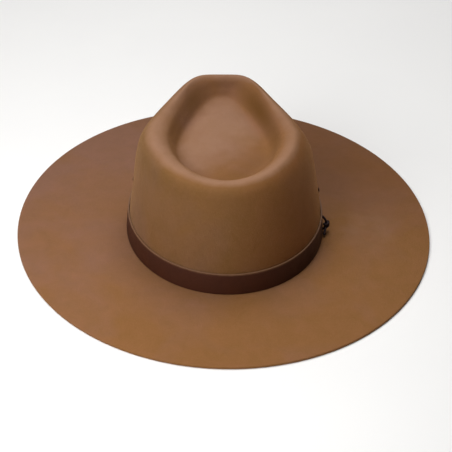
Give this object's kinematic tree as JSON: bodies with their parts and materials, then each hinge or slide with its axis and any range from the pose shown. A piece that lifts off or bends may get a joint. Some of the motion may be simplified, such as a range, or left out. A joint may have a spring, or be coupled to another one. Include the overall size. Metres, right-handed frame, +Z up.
{
  "type": "fedora",
  "caption": "Wide-brimmed felt fedora with a teardrop-dented crown, a flat stiff brim and a leather band tied with a knotted lace.",
  "frame": {"origin": "middle of the brim's flat underside, which the hat rests on", "axes": "+Y towards the front of the hat, +X towards the wearer's right, +Z up"},
  "size_m": [0.3638, 0.3929, 0.1082],
  "materials": {
    "felt": "matte wool felt",
    "band_leather": "satin",
    "lace_leather": "satin",
    "eyelet_metal": "dark enamel"
  },
  "bodies": {
    "root": {"felt_body": "felt", "leather_band": "band_leather", "band_knot": "lace_leather", "vent_eyelet_right": "eyelet_metal", "vent_eyelet_left": "eyelet_metal"}
  },
  "joints": []
}
